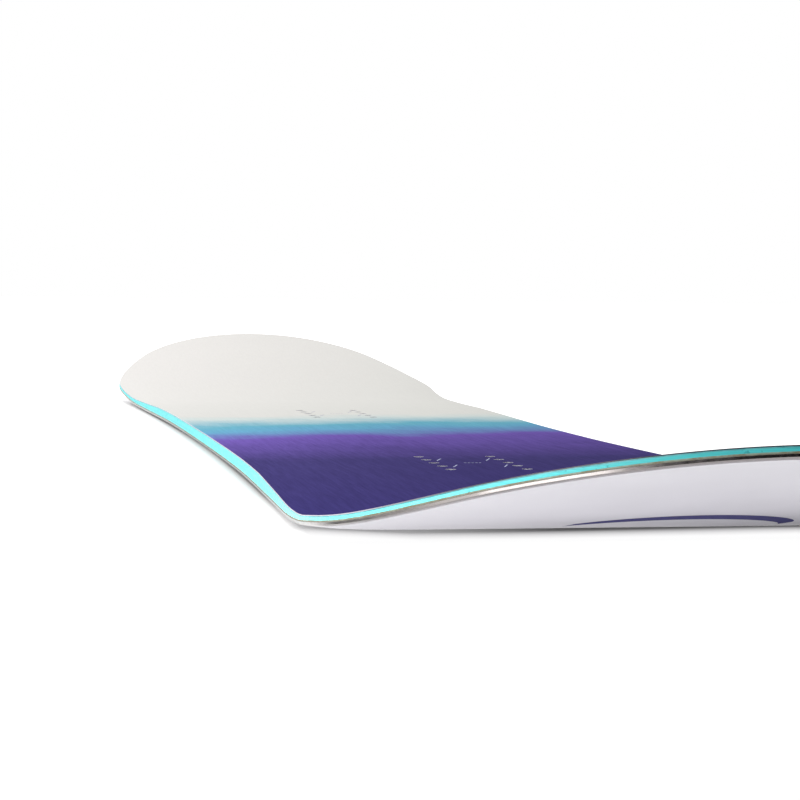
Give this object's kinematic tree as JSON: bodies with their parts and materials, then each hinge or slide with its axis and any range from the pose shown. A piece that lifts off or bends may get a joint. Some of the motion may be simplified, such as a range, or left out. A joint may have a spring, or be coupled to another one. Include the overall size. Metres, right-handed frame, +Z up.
{
  "type": "snowboard",
  "caption": "Twin-tip snowboard deck: laminated wood core with steel edges, sidewalls, plastic base, raised tips and threaded inserts that take bolted bindings.",
  "frame": {"origin": "middle of the flat running surface, halfway between nose and tail on the centre line", "axes": "+X along the board towards the nose, +Y across to the left side, +Z up through the topsheet"},
  "size_m": [1.4, 0.2672, 0.0533],
  "materials": {
    "base_white": "sintered polyethylene, polished with wax",
    "inlay_violet": "die-cut polyethylene, flush with the base",
    "edge_steel": "ground steel",
    "rubber": "thin damping strip",
    "glass_fibre": "glass cloth in epoxy",
    "glass_fibre_top": "glass cloth in epoxy",
    "wood_dark": "bare vertical-grain strip",
    "wood_light": "bare vertical-grain strip",
    "sidewall": "sanded and oiled",
    "tip_spacer": "sanded and oiled",
    "topsheet": "clear-coated print that fades from white through turquoise and purple to indigo",
    "insert_steel": "turned stainless steel",
    "plug": "moulded"
  },
  "bodies": {
    "root": {"base_sheet": "base_white", "base_inlay_nose": "inlay_violet", "base_inlay_tail": "inlay_violet", "edge_left": "edge_steel", "edge_right": "edge_steel", "rubber_left": "rubber", "rubber_right": "rubber", "lower_laminate": "glass_fibre", "core_strip_1": "wood_dark", "core_strip_2": "wood_light", "core_strip_3": "wood_dark", "core_strip_4": "wood_light", "core_strip_5": "wood_dark", "core_strip_6": "wood_light", "core_strip_7": "wood_dark", "core_strip_8": "wood_light", "core_strip_9": "wood_dark", "sidewall_left": "sidewall", "sidewall_right": "sidewall", "tip_spacer_nose": "tip_spacer", "tip_spacer_tail": "tip_spacer", "upper_laminate": "glass_fibre_top", "topsheet": "topsheet", "inserts_nose": "insert_steel", "inserts_tail": "insert_steel", "insert_plugs_nose": "plug", "insert_plugs_tail": "plug"}
  },
  "joints": []
}
